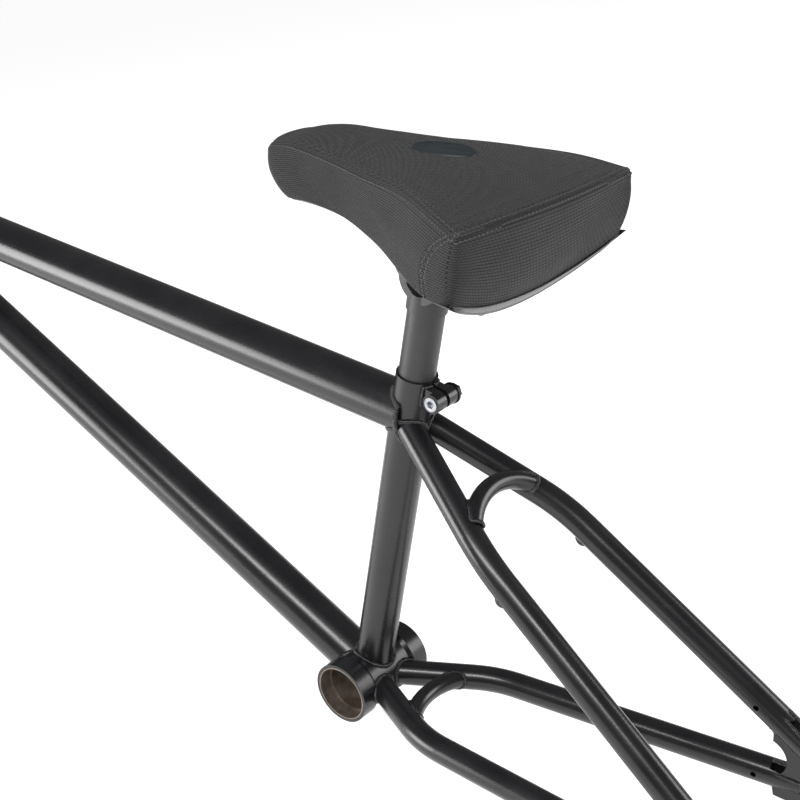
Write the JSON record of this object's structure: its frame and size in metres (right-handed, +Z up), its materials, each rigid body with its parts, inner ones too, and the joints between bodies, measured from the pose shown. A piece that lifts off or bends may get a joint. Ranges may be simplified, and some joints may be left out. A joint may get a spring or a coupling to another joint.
{
  "type": "bmx bike frame with seat",
  "caption": "Bare BMX frame with an integrated seat clamp, a straight pivotal seat post and a wide padded pivotal seat.",
  "frame": {"origin": "centre of the bottom bracket shell", "axes": "+X forward to the head tube, +Y to the rider's left, +Z up; the rear axle line is parallel to Y"},
  "size_m": [0.8599, 0.1711, 0.4597],
  "materials": {
    "frame_paint": "satin",
    "bright_steel": "satin",
    "black_steel": "satin",
    "post_anodised": "satin",
    "base_plastic": "gloss",
    "foam": "matte",
    "cover": "matte",
    "patch": "matte"
  },
  "bodies": {
    "frame": {"head_tube": "frame_paint", "top_tube": "frame_paint", "down_tube": "frame_paint", "seat_tube": "frame_paint", "bottom_bracket_shell": "frame_paint", "left_chain_stay": "frame_paint", "right_chain_stay": "frame_paint", "left_seat_stay": "frame_paint", "right_seat_stay": "frame_paint", "chain_stay_bridge": "frame_paint", "seat_stay_bridge": "frame_paint", "left_dropout": "frame_paint", "right_dropout": "frame_paint", "left_clamp_lug": "frame_paint", "right_clamp_lug": "frame_paint", "left_brake_boss": "frame_paint", "right_brake_boss": "frame_paint", "clamp_bolt": "bright_steel", "clamp_nut": "black_steel"},
    "post": {"seat_post": "post_anodised", "post_head": "post_anodised"},
    "seat": {"half_moon_nut": "bright_steel", "pivot_bolt": "bright_steel", "pivot_washer": "bright_steel", "seat_base": "base_plastic", "seat_foam": "foam", "top_cover": "cover", "left_cover": "cover", "right_cover": "cover", "rear_cover": "cover", "bolt_patch": "patch"}
  },
  "joints": [
    {"name": "post_height", "type": "slide", "parent": "frame", "child": "post", "axis": [-0.3256, 0, 0.9455], "range_m": [-0.035, 0.05]},
    {"name": "seat_tilt", "type": "hinge", "parent": "post", "child": "seat", "pos_m": [-0.11265, 0, 0.32715], "axis": [0.0594, 0.998, 0.0204], "range_deg": [-15, 15]}
  ]
}
